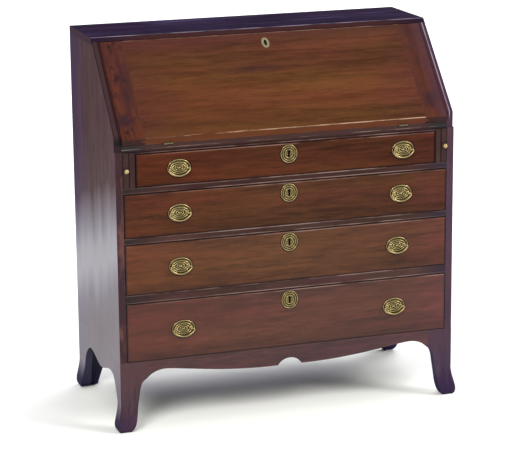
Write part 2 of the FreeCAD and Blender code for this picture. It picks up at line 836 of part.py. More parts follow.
def front_facing():
    """Front half of the right front foot, mitred at the corner."""
    inner_toe = half_width - toe_width
    outline = straight(
        in_front_view(inner_toe, 0), in_front_view(half_width + beyond, 0),
        in_front_view(half_width + beyond, case_floor_height), in_front_view(seam_x, case_floor_height),
        in_front_view(seam_x, front_seam_height))
    outline += smooth(
        in_front_view(seam_x, front_seam_height),
        *(in_front_view(half_width - width, height) for width, height in shoulder_curve),
        in_front_view(half_width - ankle_width, ankle_height),
        *(in_front_view(half_width - width, height) for width, height in toe_rounding),
        in_front_view(inner_toe, 0))
    board = sheet(outline).extrude(Vector(0, beyond + front_thickness, 0)).translated(Vector(0, -beyond, 0))
    section = front_section().extrude(Vector(foot_facing_length + beyond, 0, 0))
    return board.common(section.translated(Vector(seam_x, 0, 0)))


def side_facing_board(outline):
    board = sheet(outline).extrude(Vector(side_thickness + beyond, 0, 0)).translated(Vector(inner_half, 0, 0))
    section = side_section().extrude(Vector(0, case_depth + beyond, 0)).translated(Vector(0, -beyond, 0))
    return board.common(section)


def side_facing():
    """Side half of the right front foot."""
    outline = straight(
        in_side_view(ankle_depth, 0), in_side_view(-beyond, 0), in_side_view(-beyond, case_floor_height),
        in_side_view(foot_facing_length, case_floor_height),
        in_side_view(foot_facing_length, side_seam_height))
    outline += smooth(
        in_side_view(foot_facing_length, side_seam_height),
        in_side_view((foot_facing_length + 2 * ankle_depth) / 3, (side_seam_height + ankle_height) / 2),
        in_side_view(ankle_depth, ankle_height),
        in_side_view(ankle_depth, 0))
    return side_facing_board(outline)


def rear_facing(toe):
    """Side facing of the right rear foot, square at the back."""
    ankle_y = case_depth - rear_ankle_depth
    toe_y = case_depth - toe[-1][0]
    outline = straight(
        in_side_view(toe_y, 0), in_side_view(case_depth, 0), in_side_view(case_depth, case_floor_height),
        in_side_view(rear_seam_y, case_floor_height), in_side_view(rear_seam_y, rear_seam_height))
    outline += smooth(
        in_side_view(rear_seam_y, rear_seam_height),
        in_side_view((rear_seam_y + 2 * ankle_y) / 3, (rear_seam_height + ankle_height) / 2),
        in_side_view(ankle_y, rear_ankle_height),
        *(in_side_view(case_depth - depth, height) for depth, height in toe))
    return side_facing_board(outline)


def rear_bracket(toe):
    """Bracket across the back of the right rear foot, with a sloping inner edge."""
    outline = straight(
        in_front_view(inner_half - rear_bracket_length, bottom_underside),
        in_front_view(inner_half, bottom_underside),
        in_front_view(inner_half, 0), in_front_view(inner_half - toe, 0))
    outline += smooth(
        in_front_view(inner_half - toe, 0),
        in_front_view(inner_half - rear_bracket_ankle, ankle_height),
        in_front_view(inner_half - rear_bracket_length, bottom_underside))
    board = sheet(outline).extrude(Vector(0, side_thickness, 0))
    return board.translated(Vector(0, case_depth - side_thickness, 0))


mitre_reach = foot_facing_length + beyond
mitre_front = polygon(
    in_plan(half_width + mitre_reach, -mitre_reach), in_plan(half_width - mitre_reach, -mitre_reach),
    in_plan(half_width - mitre_reach, mitre_reach))
mitre_front = mitre_front.extrude(Vector(0, 0, case_floor_height))
front_foot = [front_facing().common(mitre_front), side_facing().cut(mitre_front)]
rear_left_foot = [rear_facing(left_rear_toe), rear_bracket(left_bracket_toe)]
pieces["front_right_foot"] = group(front_foot)
pieces["front_left_foot"] = group(mirrored(solid) for solid in front_foot)
pieces["rear_right_foot"] = group([rear_facing(right_rear_toe), rear_bracket(right_bracket_toe)])
pieces["rear_left_foot"] = group(mirrored(solid) for solid in rear_left_foot)

front_block = block(half_width - ankle_width + block_clearance, inner_half,
                    front_thickness, ankle_depth - block_clearance, block_floor_gap, bottom_underside)
rear_block = block(inner_half - rear_block_width, inner_half,
                   case_depth - rear_ankle_depth + block_clearance, case_depth - side_thickness,
                   block_floor_gap, bottom_underside)
pieces["foot_blocks"] = group(
    [front_block, mirrored(front_block), rear_block, mirrored(rear_block)])


# Fitted inside: pigeonholes over small drawers

gallery_front = rail_back + gallery_gap
small_drawer_length = back_front - gallery_front - small_drawer_end_room
hole_pitch = 2 * inner_half / hole_count
shelf_low = bed_top + small_drawer_height
shelf_high = shelf_low + gallery_board
shelf = block(-inner_half, inner_half, gallery_front, back_front, shelf_low, shelf_high)
gallery = [shelf]
for i in range(1, hole_count):
    x = -inner_half + i * hole_pitch
    gallery.append(block(x - gallery_board / 2, x + gallery_board / 2, gallery_front, back_front,
                         shelf_high, side_top))
drawer_pitch = 2 * inner_half / small_drawer_count
for i in range(1, small_drawer_count):
    x = -inner_half + i * drawer_pitch
    gallery.append(block(x - gallery_board / 2, x + gallery_board / 2, gallery_front, back_front,
                         bed_top, shelf_low))


def valance(x0, x1):
    """Arched strip across the head of a pigeonhole."""
    low = side_top - valance_height
    middle = (x0 + x1) / 2
    outline = straight(
        in_front_view(x0, low), in_front_view(x0, side_top),
        in_front_view(x1, side_top), in_front_view(x1, low))
    outline += arc(
        in_front_view(x0, low), in_front_view(middle, low + valance_arch_rise), in_front_view(x1, low))
    strip = sheet(outline).extrude(Vector(0, gallery_board, 0))
    return strip.translated(Vector(0, gallery_front + valance_inset, 0))


for i in range(hole_count):
    left = -inner_half + i * hole_pitch + (gallery_board / 2 if i > 0 else 0)
    right = -inner_half + (i + 1) * hole_pitch - (gallery_board / 2 if i < hole_count - 1 else 0)
    gallery.append(valance(left, right))
pieces["gallery_boards"] = group(gallery)

small_knob = turned_knob(
    small_knob_radius, small_knob_reach, small_knob_neck, shank_radius, small_drawer_front)


def small_drawer(index):
    """One small drawer: front, two sides, back, bottom and turned knob."""
    left = -inner_half + index * drawer_pitch + (gallery_board / 2 if index > 0 else 0)
    right = -inner_half + (index + 1) * drawer_pitch
    right -= gallery_board / 2 if index < small_drawer_count - 1 else 0
    x0 = left + small_drawer_gap
    x1 = right - small_drawer_gap
    low = bed_top + rest_gap
    high = shelf_low - small_drawer_gap
    y0 = gallery_front
    y1 = gallery_front + small_drawer_front
    y2 = gallery_front + small_drawer_length
    wall = small_drawer_wall
    knob_place = Vector((x0 + x1) / 2, y0, (low + high) / 2)
    front = block(x0, x1, y0, y1, low, high)
    front = front.cut(rod(shank_radius, knob_place, Vector(0, 1, 0), small_drawer_front))
    return group([
        front,
        block(x0, x0 + wall, y1, y2, low, high),
        block(x1 - wall, x1, y1, y2, low, high),
        block(x0 + wall, x1 - wall, y2 - wall, y2, low, high),
        block(x0 + wall, x1 - wall, y1, y2 - wall, low, low + small_drawer_bottom),
        small_knob.translated(knob_place),
    ])


for i in range(small_drawer_count):
    pieces["small_drawer_%d" % (i + 1)] = small_drawer(i)


# The origin lies under the middle of the desk, between the loper knobs and the back
to_origin = Vector(0, -(case_depth - knob_reach) / 2, 0)
os.makedirs("parts", exist_ok=True)
for name, shape in pieces.items():
    shape.translated(to_origin).exportStep("parts/%s.step" % name)
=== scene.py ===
# Slant-front desk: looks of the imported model, in metres, x to the right, y to the back, z up
import math

import bmesh
import bpy
import numpy as np
from mathutils import Matrix, Vector


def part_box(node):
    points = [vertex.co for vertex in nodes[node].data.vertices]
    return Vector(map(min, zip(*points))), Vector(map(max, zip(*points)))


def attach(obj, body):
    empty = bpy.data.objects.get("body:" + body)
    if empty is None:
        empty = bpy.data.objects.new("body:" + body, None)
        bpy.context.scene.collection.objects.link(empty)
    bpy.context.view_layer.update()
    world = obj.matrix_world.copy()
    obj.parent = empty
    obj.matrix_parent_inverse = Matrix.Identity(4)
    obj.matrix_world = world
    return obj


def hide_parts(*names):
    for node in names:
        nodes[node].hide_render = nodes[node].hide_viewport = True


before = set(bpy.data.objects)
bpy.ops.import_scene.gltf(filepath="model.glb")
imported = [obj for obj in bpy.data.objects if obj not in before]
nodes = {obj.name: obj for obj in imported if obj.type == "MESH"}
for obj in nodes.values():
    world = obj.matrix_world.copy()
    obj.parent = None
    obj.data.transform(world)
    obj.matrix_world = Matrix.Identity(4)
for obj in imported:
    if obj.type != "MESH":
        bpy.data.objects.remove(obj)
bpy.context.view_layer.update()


# Case sides: two wide boards of solid mahogany with upright grain, their upper front corners sawn to the
# slant. The polish is worn dull above and still glossy below, with a painted lavender sheen in the colour
# where the gloss begins; the narrow front edges are dark with handling.

def node_tools(tree):
    """Functions for a node tree: the first adds a node, the second joins values or sockets to its inputs."""
    def join(node, inputs):
        for socket, value in inputs.items():
            if isinstance(value, bpy.types.NodeSocket):
                tree.links.new(value, node.inputs[socket])
            else:
                node.inputs[socket].default_value = value

    def add(kind, inputs=None, **settings):
        node = tree.nodes.new("ShaderNode" + kind)
        for setting, value in settings.items():
            setattr(node, setting, value)
        join(node, inputs or {})
        return node

    return add, join


def new_finish(name):
    """An empty finish: the material, its shader, and functions that add a node and join its inputs."""
    finish = bpy.data.materials.new(name)
    finish.use_nodes = True
    add, join = node_tools(finish.node_tree)
    return finish, finish.node_tree.nodes["Principled BSDF"], add, join


def reckon(add, kind, *values):
    """One step of arithmetic, such as ADD or MULTIPLY, on the values given."""
    return add("Math", dict(enumerate(values)), operation=kind).outputs["Value"]


def both(add, share, *others):
    """Shares multiplied, so that each has to hold."""
    for other in others:
        share = reckon(add, "MULTIPLY", share, other)
    return share


def either(add, share, *others):
    """The largest of some shares, so that one is enough."""
    for other in others:
        share = reckon(add, "MAXIMUM", share, other)
    return share


def axes_of(add, place):
    """The x, y and z of places, by their capital letters."""
    return add("SeparateXYZ", {"Vector": place}).outputs


def ranged(add, value, low, high, to_low=0.0, to_high=1.0):
    """Value in the range low to high, laid out evenly and without overshoot from to_low to to_high."""
    inputs = {"Value": value, "From Min": low, "From Max": high, "To Min": to_low, "To Max": to_high}
    return add("MapRange", inputs).outputs["Result"]


def near(add, value, position, reach):
    """1 at a position, falling evenly to 0 at a distance of reach on both sides."""
    away = reckon(add, "ABSOLUTE", reckon(add, "SUBTRACT", value, position))
    return ranged(add, away, 0.0, reach, 1.0, 0.0)


def tint(add, share, below, above, way="MIX"):
    """A colour that goes from below to above as share goes from 0 to 1. Inputs 6 and 7 of a Mix node are its
    two colours, and output 2 is the mixed one."""
    node = add("Mix", {"Factor": share}, data_type="RGBA", blend_type=way)
    for socket, value in ((6, below), (7, above)):
        if isinstance(value, bpy.types.NodeSocket):
            node.id_data.links.new(value, node.inputs[socket])
        else:
            node.inputs[socket].default_value = (*value, 1.0)
    return node.outputs[2]


def cloudy(add, place, scale, detail=3.0, rough=0.55, bend=0.0):
    """Noise from 0 to 1 with scale lumps to the metre."""
    inputs = {"Vector": place, "Scale": scale, "Detail": detail, "Roughness": rough, "Distortion": bend}
    return add("TexNoise", inputs).outputs["Fac"]


def drawn_out(add, place, along, length):
    """Places squeezed along one axis, so that a pattern on them is that many times longer than wide."""
    squeeze = [1.0 / length if axis == along else 1.0 for axis in "xyz"]
    return add("Mapping", {"Vector": place, "Scale": squeeze}).outputs["Vector"]


def shades(add, value, stops):
    """Value turned to a colour by stops of (value, colour), evenly in between."""
    ramp = add("ValToRGB", {"Fac": value})
    marks = ramp.color_ramp.elements
    positions, colours = zip(*stops)
    marks[0].position, marks[1].position = positions[0], positions[-1]
    for position in positions[1:-1]:
        marks.new(position)
    for mark, colour in zip(marks, colours):
        mark.color = (*colour, 1.0)
    return ramp.outputs["Color"]


def graded(add, value, stops):
    """Value turned to a share by stops of (value, share), evenly in between."""
    return shades(add, value, [(position, (share, share, share)) for position, share in stops])


def shaded(colour, share):
    """A colour times a share, for a darker or paler shade of it."""
    return [share * part for part in colour]


grain_weights = (0.33, 0.36, 0.31)
grain_spread = 0.13
arris_radius = 0.0018
pore_depth = 0.0004


def aged_wood(name, along, mid, seed, tilt=0.0, figure=1.0, clouds=0.15, rough=(0.36, 0.52), shine=0.1,
              coat=0.0, coat_ior=1.5, edge=None, edge_share=0.0, marks=None):
    """Polished old wood with its grain along one axis. Noise drawn out along the grain makes broad bands,
    streaks and short flecks; their weighed sum picks a shade from dark through mid to pale. Smears darken it,
    round clouds make it redder or yellower, the finest noise gives pores, marks are the piece's own, and
    arrises can be rubbed to the edge colour. Pores and streaks also make the bump."""
    finish, shader, add, join = new_finish(name)
    place = add("TexCoord").outputs["Object"]
    turned = add("Mapping", {"Vector": place, "Rotation": (math.radians(tilt), 0.0, 0.0),
                             "Location": (1.37 * seed, 0.71 * seed, 2.13 * seed)}).outputs["Vector"]
    grain = drawn_out(add, turned, along, 14.0)
    short_grain = drawn_out(add, turned, along, 8.0)
    bands = cloudy(add, grain, 8.0, 2.0, 0.5, 0.6)
    streaks = cloudy(add, grain, 48.0, 5.0, 0.62, 0.3)
    flecks = cloudy(add, short_grain, 130.0, 4.0, 0.6, 0.2)
    parts = add("CombineXYZ", {"X": bands, "Y": streaks, "Z": flecks}).outputs["Vector"]
    weighed = add("VectorMath", {0: parts, 1: grain_weights}, operation="DOT_PRODUCT").outputs["Value"]
    dark, pale = shaded(mid, 1.0 - 0.50 * figure), shaded(mid, 1.0 + 0.45 * figure)
    share = ranged(add, weighed, 0.5 - grain_spread, 0.5 + grain_spread)
    colour = shades(add, share, ((0.0, dark), (0.5, mid), (1.0, pale)))
    smears = ranged(add, cloudy(add, grain, 26.0, 3.0, 0.6, 0.4), 0.56, 0.72, 0.0, 0.6 * figure)
    colour = tint(add, smears, colour, shaded(mid, 0.45))
    pores = ranged(add, cloudy(add, grain, 900.0, 2.0, 0.5), 0.56, 0.72)
    colour = tint(add, both(add, pores, 0.45), colour, shaded(mid, 0.25))
    tone = ranged(add, cloudy(add, short_grain, 13.0, 4.0, 0.6), 0.32, 0.68)
    red, yellow = (1.0, 1.0 - clouds, 1.0), (1.0, 1.0 + clouds, 1.0 - clouds)
    colour = tint(add, 1.0, colour, tint(add, tone, red, yellow), "MULTIPLY")
    if marks:
        colour = marks(add, place, colour)
    rounded = add("Bevel", {"Radius": arris_radius}, samples=4).outputs["Normal"]
    if edge:
        flat = add("NewGeometry").outputs["True Normal"]
        turn = add("VectorMath", {0: rounded, 1: flat}, operation="DOT_PRODUCT").outputs["Value"]
        rub = ranged(add, cloudy(add, turned, 26.0, 4.0, 0.7), 0.34, 0.62, 0.15, edge_share)
        colour = tint(add, both(add, ranged(add, turn, 0.985, 0.86), rub), colour, edge)
    relief = reckon(add, "SUBTRACT", both(add, streaks, 0.5), pores)
    bump = add("Bump", {"Height": relief, "Normal": rounded, "Strength": 0.22, "Distance": pore_depth})
    join(shader, {"Base Color": colour, "Roughness": ranged(add, streaks, 0.3, 0.7, *rough),
                  "Normal": bump.outputs["Normal"], "Specular IOR Level": shine,
                  "Coat Weight": coat(add, place) if callable(coat) else coat,
                  "Coat Roughness": 0.3, "Coat IOR": coat_ior})
    return finish


def dress(finish, *names):
    """Gives CAD nodes a finish through their objects' material slots."""
    for name in names:
        for place in nodes[name].material_slots:
            place.material = finish


def broadside(add):
    """1 on faces that look sideways, along x, and 0 on the others."""
    sideways = axes_of(add, add("NewGeometry").outputs["True Normal"])["X"]
    return ranged(add, reckon(add, "ABSOLUTE", sideways), 0.5, 0.7)


side_brown = (0.0760, 0.0455, 0.0520)
side_purple = (0.051, 0.035, 0.083)
painted_sheen_lavender = (0.085, 0.075, 0.150)
stile_dark = (0.0315, 0.016125, 0.018375)
stile_worn = (0.125, 0.050, 0.036)
right_stile = (0.054, 0.031, 0.049)
left_slant, right_slant = (0.031, 0.0155, 0.018), (0.034, 0.021, 0.040)
left_beside, right_beside = (0.045, 0.0135, 0.0115), (0.040, 0.0165, 0.0235)
painted_edge_glint = (0.28, 0.21, 0.26)
# near-black for real joints and dirt, and for painted shadow in the gaps
joint_dirt_and_shadow_dark = (0.005, 0.003, 0.004)
step_shadow_black = (0.010, 0.010, 0.012)
left_gap, right_gap = 0.4885, 0.4945
case_half = 0.505
slope_step = 0.829
polish_slope, polish_ragged = 0.32, 0.15
polish_ior = 1.9
sheen_band_stops = ((0.28, 0.25), (0.40, 0.62), (0.52, 0.55), (0.66, 0.0))
gloss_stops = ((0.10, 0.65), (0.26, 0.53), (0.33, 0.53), (0.43, 0.89), (0.49, 0.81), (0.57, 0.40),
               (0.66, 0.05), (0.85, 0.0))


def polish_height(add, place):
    """Height on the side, reckoned from a line that falls towards the back and is ragged along the grain."""
    axes = axes_of(add, place)
    ragged = cloudy(add, drawn_out(add, place, "z", 12.0), 18.0, 3.0, 0.6)
    height = reckon(add, "MULTIPLY_ADD", axes["Y"], polish_slope, axes["Z"])
    return reckon(add, "MULTIPLY_ADD", reckon(add, "SUBTRACT", ragged, 0.5), polish_ragged, height)


def to_back(add, axes):
    """Share of the purple that the sides have taken, growing towards the back."""
    return ranged(add, axes["Y"], 0.06, 0.245, 0.0, 0.7)


def side_marks(add, place, colour):
    """The broad face turns purple to the back and has a lavender band of painted sheen where its polish
    begins. The narrow edges are dark and worn in spots, mostly on the left. On the slant, the left one has
    black lines beside the fall, painted shadow in the gap there, and at the outer arris, and a black painted
    shadow in the step at its foot; the right one has a painted highlight, a bright broken line, beside the
    fall. On the fall's side of these lines both have nearly the cleats' colours."""
    axes = axes_of(add, place)
    colour = tint(add, to_back(add, axes), colour, side_purple)
    # the lavender band is a painted sheen: a reflection of the pale floor painted into the colour
    colour = tint(add, graded(add, polish_height(add, place), sheen_band_stops), colour, painted_sheen_lavender)
    narrow = reckon(add, "SUBTRACT", 1.0, broadside(add))
    rightward = ranged(add, axes["X"], -0.1, 0.1)
    worn = ranged(add, cloudy(add, drawn_out(add, place, "z", 3.5), 34.0, 3.0, 0.6), 0.46, 0.72)
    stile = tint(add, worn, stile_dark, stile_worn)
    stile = tint(add, both(add, rightward, 0.75), stile, right_stile)
    slant = tint(add, rightward, left_slant, right_slant)
    edge = tint(add, ranged(add, axes["Z"], 0.80, 0.84), stile, slant)
    colour = tint(add, both(add, narrow, 0.9), colour, edge)
    above = both(add, narrow, ranged(add, axes["Z"], slope_step - 0.004, slope_step + 0.01))
    gap = ranged(add, rightward, 0.0, 1.0, left_gap, right_gap)
    past_gap = reckon(add, "SUBTRACT", reckon(add, "ABSOLUTE", axes["X"]), gap)
    inside = ranged(add, past_gap, 0.0005, -0.0005)
    colour = tint(add, both(add, above, inside), colour, tint(add, rightward, left_beside, right_beside))
    # black lines on the left slant: painted shadow in the gap beside the fall, and a line at the outer arris
    lines = either(add, near(add, axes["X"], -left_gap, 0.0034), near(add, axes["X"], -case_half, 0.003))
    colour = tint(add, both(add, above, lines), colour, joint_dirt_and_shadow_dark)
    # black painted shadow in the step at the foot of the left slant
    step = both(add, near(add, axes["Z"], slope_step, 0.024), ranged(add, axes["X"], 0.1, -0.1))
    colour = tint(add, both(add, narrow, step), colour, step_shadow_black)
    # painted highlight: a bright broken line on the right slant beside the fall
    broken = ranged(add, cloudy(add, place, 18.0, 3.0, 0.6), 0.3, 0.55, 0.35, 1.0)
    painted_glint = both(add, above, near(add, axes["X"], right_gap, 0.0024), broken)
    return tint(add, painted_glint, colour, painted_edge_glint)


def side_gloss(add, place):
    """Polish on the broad face: hardly any above, fullest in the band where it begins, duller again below."""
    return both(add, graded(add, polish_height(add, place), gloss_stops), broadside(add))


side_wood = aged_wood("side_mahogany", "z", side_brown, seed=1.0, figure=0.7, clouds=0.05, shine=0.0,
                      coat=side_gloss, coat_ior=polish_ior, marks=side_marks)
dress(side_wood, "left_side", "right_side")


# Top board: one mahogany board over the sides, its front edge bevelled to the slant. It has gone dark, with a
# bluish bloom on the polish, and its front arris shows a thin pale line of rubbed wear and painted highlight.
top_dark = (0.0085, 0.003, 0.0085)
top_bloom = (0.034, 0.025, 0.055)
top_end = (0.050, 0.031, 0.045)
bevel_brown, bevel_end = (0.032, 0.0125, 0.0135), (0.014, 0.008, 0.017)
top_wear_and_highlight = (0.27, 0.22, 0.27)
top_front, top_height = 0.0, 1.091
top_line_half = 0.0024


def top_marks(add, place, colour):
    """Patches of bloom, the sides' brown on both ends, a redder bevel with dark ends, and the pale line of
    rubbed wear and painted highlight along the front arris."""
    axes = axes_of(add, place)
    bloom = ranged(add, cloudy(add, drawn_out(add, place, "x", 4.0), 11.0, 4.0, 0.6), 0.55, 0.74, 0.0, 0.9)
    colour = tint(add, bloom, colour, top_bloom)
    colour = tint(add, broadside(add), colour, top_end)
    bevel = ranged(add, axes["Y"], top_front - 0.0005, top_front - 0.002)
    ends = ranged(add, reckon(add, "ABSOLUTE", axes["X"]), 0.36, 0.48)
    colour = tint(add, bevel, colour, tint(add, ends, bevel_brown, bevel_end))
    broken = ranged(add, cloudy(add, drawn_out(add, place, "x", 6.0), 60.0, 3.0, 0.6), 0.38, 0.62, 0.15, 1.0)
    arris = both(add, near(add, axes["Y"], top_front, top_line_half),
                 near(add, axes["Z"], top_height, top_line_half))
    return tint(add, both(add, arris, broken), colour, top_wear_and_highlight)


def top_gloss(add, place):
    """Streaky polish on the upper face, none on the ends and the bevel."""
    streaky = ranged(add, cloudy(add, drawn_out(add, place, "x", 9.0), 40.0, 4.0, 0.65), 0.3, 0.7, 0.25, 0.70)
    upper = ranged(add, axes_of(add, place)["Y"], top_front - 0.0005, top_front)
    return both(add, streaky, upper, reckon(add, "SUBTRACT", 1.0, broadside(add)))


top_wood = aged_wood("top_mahogany", "x", top_dark, seed=2.0, shine=0.0, coat=top_gloss, marks=top_marks)
dress(top_wood, "top_board")


# Bottom board, back boards and drawer runners: plain pine left from the plane and darkened with age. The
# bottom board is grey with dust. Four back boards lie across in rebates, with dark joints.
pine_plain, pine_rubbed = (0.15, 0.094, 0.047), (0.09, 0.06, 0.035)
pine_back = (0.115, 0.076, 0.044)
pine_dusty = (0.105, 0.107, 0.100)
back_low, back_board, back_count = 0.129, 0.2375, 4


def back_marks(add, place, colour):
    """Dark lines where the back boards meet."""
    height = axes_of(add, place)["Z"]
    for row in range(1, back_count):
        colour = tint(add, near(add, height, back_low + row * back_board, 0.0025), colour, joint_dirt_and_shadow_dark)
    return colour


bare_pine = aged_wood("bare_pine", "y", pine_plain, seed=3.0, rough=(0.6, 0.8), clouds=0.07, edge=pine_rubbed,
                      edge_share=0.6)
back_pine = aged_wood("back_pine", "x", pine_back, seed=4.0, rough=(0.62, 0.82), clouds=0.07,
                      marks=back_marks)
dusty_pine = aged_wood("dusty_pine", "x", pine_dusty, seed=3.5, rough=(0.6, 0.8), figure=0.6)
dress(dusty_pine, "bottom_board")
dress(bare_pine, "drawer_runners")
dress(back_pine, "back_boards")


# Drawer rails and loper partitions: mahogany strips between the sides, flush with the drawer fronts.
# Hands and drawers have rubbed their arrises, which show thin pale lines of wear and painted highlight, and
# the gaps beside them are darkened with painted shadow.
rail_purple = (0.041, 0.0168, 0.0150)
rail_wear_and_highlight = (0.22, 0.150, 0.135)
upper_rail_shade, lower_rail_shade = (0.95, 0.82, 0.84), (1.12, 1.24, 1.26)
rail_left_dirt, rail_right_dirt = (0.0145, 0.0095, 0.0105), (0.020, 0.0135, 0.023)
partition_purple = (0.039, 0.0170, 0.0165)
partition_gaps = ((0.4473, 0.0046), (0.4650, 0.0030))
drawer_gap = 0.0014
front_face = -0.230
drawer_numbers = range(1, 5)
drawer_boxes = [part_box(f"drawer_{number}_front") for number in drawer_numbers]


def on_front(add, place):
    """1 on the front faces of the rails, the drawers and what lies between them, 0 behind."""
    return ranged(add, axes_of(add, place)["Y"], front_face + 0.004, front_face + 0.002)


def worn_through(add, place, scale, low, high, most=1.0, length=9.0):
    """Patches drawn out along x that break a pale line of wear and painted highlight: noise from low to high
    becomes 0 to most.
    """
    patches = cloudy(add, drawn_out(add, place, "x", length), scale, 4.0, 0.65)
    return ranged(add, patches, low, high, 0.0, most)


def rail_marks(add, place, colour):
    """Paler downwards, with a pale broken line of wear and painted highlight on the arris over each drawer
    and on the one under it, fading to both ends, which are dirtier."""
    axes = axes_of(add, place)
    levels = tint(add, ranged(add, axes["Z"], 0.72, 0.40), upper_rail_shade, lower_rail_shade)
    colour = tint(add, 1.0, colour, levels, "MULTIPLY")
    colour = tint(add, ranged(add, axes["X"], -0.36, -0.48, 0.0, 0.9), colour, rail_left_dirt)
    colour = tint(add, ranged(add, axes["X"], 0.38, 0.46, 0.0, 0.85), colour, rail_right_dirt)
    # pale lines on the arrises: partly rubbed wear, partly painted highlight
    lines = 0.0
    for low, high in drawer_boxes:
        under = near(add, axes["Z"], low[2] - drawer_gap - 0.0012, 0.0022)
        over = near(add, axes["Z"], high[2] + drawer_gap + 0.0026, 0.0018)
        lines = either(add, lines, under, over)
    from_left = ranged(add, axes["X"], -0.45, -0.15, 0.3, 1.0)
    to_right = ranged(add, axes["X"], 0.35, 0.44, 1.0, 0.25)
    broken = worn_through(add, place, 75.0, 0.40, 0.58)
    lines = both(add, lines, on_front(add, place), from_left, to_right, broken)
    return tint(add, lines, colour, rail_wear_and_highlight)


def gap_shadow_marks(gaps):
    """Painted shadow in lines on the front face, at gaps of (distance from the desk's middle, half width)."""
    def marks(add, place, colour):
        across = reckon(add, "ABSOLUTE", axes_of(add, place)["X"])
        lines = either(add, *(near(add, across, middle, half) for middle, half in gaps))
        return tint(add, both(add, lines, on_front(add, place)), colour, joint_dirt_and_shadow_dark)
    return marks


rail_wood = aged_wood("rail_mahogany", "x", rail_purple, seed=5.0, figure=0.8, marks=rail_marks)
partition_wood = aged_wood("partition_mahogany", "z", partition_purple, seed=6.0, figure=0.8,
                           marks=gap_shadow_marks(partition_gaps))
dress(rail_wood, "drawer_rails")
dress(partition_wood, "loper_partitions")


# Writing bed and fitted inside: a mahogany bed board with a dark front edge, its pale line partly wear and
# partly painted highlight, and pigeonholes of thin boards over four small drawers. Kept from the light, they
# are redder than the outside.
small_drawer_numbers = range(1, 5)
inside_red, inside_rubbed = (0.13, 0.048, 0.020), (0.2, 0.1, 0.06)
bed_edge, bed_edge_end = (0.040, 0.0180, 0.0160), (0.018, 0.0145, 0.0165)
bed_front, bed_line = -0.2225, 0.8105


def bed_marks(add, place, colour):
    """The front edge under the closed fall is as dark as the rails, darker at its ends, with a pale broken
    line of wear and painted highlight along its middle."""
    axes = axes_of(add, place)
    ends = ranged(add, reckon(add, "ABSOLUTE", axes["X"]), 0.40, 0.45)
    face = tint(add, ends, bed_edge, bed_edge_end)
    line = both(add, near(add, axes["Z"], bed_line, 0.0018), worn_through(add, place, 60.0, 0.44, 0.60))
    face = tint(add, line, face, rail_wear_and_highlight)
    return tint(add, ranged(add, axes["Y"], bed_front + 0.004, bed_front + 0.001), colour, face)


bed_wood = aged_wood("bed_mahogany", "x", inside_red, seed=7.0, marks=bed_marks)
inside_wood = aged_wood("inside_mahogany", "x", inside_red, seed=7.5, edge=inside_rubbed, edge_share=0.5)
inside_upright = aged_wood("inside_mahogany_upright", "z", inside_red, seed=8.0, edge=inside_rubbed,
                           edge_share=0.5)
dress(bed_wood, "writing_bed")
dress(inside_wood, "fall_stop_rail", *(f"small_drawer_{number}" for number in small_drawer_numbers))
dress(inside_upright, "gallery_boards")


# Base: a skirt with a sawn lower edge between flared feet. The feet are faced with upright grain and finished
# with the sides, the skirt has its grain across, and glue blocks behind hold them to the bottom; the blocks
# and the feet's inner faces are painted a dark navy shade.
skirt_brown, skirt_rubbed = (0.052, 0.0156, 0.0177), (0.10, 0.05, 0.045)
foot_purple = (0.048, 0.0240, 0.037)
foot_brown = (0.061, 0.0255, 0.028)
right_foot_shade = (0.78, 0.87, 1.25)
foot_side_sheen, foot_side_sheen_back = (0.077, 0.0545, 0.0825), (0.052, 0.043, 0.090)
inside_shade_navy = (0.034, 0.031, 0.060)
toe_navy = (0.024, 0.020, 0.056)
block_shade_navy = (0.030, 0.027, 0.050)


def foot_outside(add, place):
    """1 on the outer side faces of the feet, 0 on their fronts and inside."""
    across = reckon(add, "ABSOLUTE", axes_of(add, place)["X"])
    return both(add, broadside(add), ranged(add, across, case_half - 0.011, case_half - 0.007))


def foot_marks(add, place, colour):
    """Fronts take the skirt's colour above and are more purple on the right, outer side faces have the sides'
    lower colour with its painted lavender sheen, the inner faces are painted a dark navy shade, and all
    darken to navy at the toe, the fronts less."""
    axes = axes_of(add, place)
    outside = foot_outside(add, place)
    front = ranged(add, axes["Y"], front_face + 0.004, front_face + 0.001)
    colour = tint(add, ranged(add, axes["Z"], 0.09, 0.17, 0.0, 0.7), colour, foot_brown)
    # faces neither outside nor in front take a dark navy painted shade
    colour = tint(add, either(add, outside, front), inside_shade_navy, colour)
    colour = tint(add, ranged(add, axes["X"], 0.30, 0.46), colour, right_foot_shade, "MULTIPLY")
    # outer side faces take the sides' lower colour, partly a painted lavender sheen
    colour = tint(add, outside, colour, tint(add, to_back(add, axes), foot_side_sheen, foot_side_sheen_back))
    toe = both(add, ranged(add, axes["Z"], 0.025, 0.065, 0.9, 0.0), ranged(add, outside, 0.0, 1.0, 0.45, 1.0))
    return tint(add, toe, colour, toe_navy)


def foot_gloss(add, place):
    """The sides' polish runs down the outer side faces to the toe; the fronts are duller."""
    down = ranged(add, axes_of(add, place)["Z"], 0.035, 0.085, 0.04, 0.58)
    return both(add, down, ranged(add, foot_outside(add, place), 0.0, 1.0, 0.22, 1.0))


skirt_wood = aged_wood("skirt_mahogany", "x", skirt_brown, seed=9.0, figure=1.5, shine=0.34,
                       edge=skirt_rubbed, edge_share=0.6)
foot_wood = aged_wood("foot_mahogany", "z", foot_purple, seed=10.0, figure=1.3, shine=0.0, coat=foot_gloss,
                      coat_ior=polish_ior, marks=foot_marks)
# the glue blocks are a dark navy painted shade
block_wood = aged_wood("block_pine", "z", block_shade_navy, seed=14.0, shine=0.05, rough=(0.6, 0.8))
dress(skirt_wood, "front_skirt")
dress(foot_wood, "front_left_foot", "front_right_foot", "rear_left_foot", "rear_right_foot")
dress(block_wood, "foot_blocks")


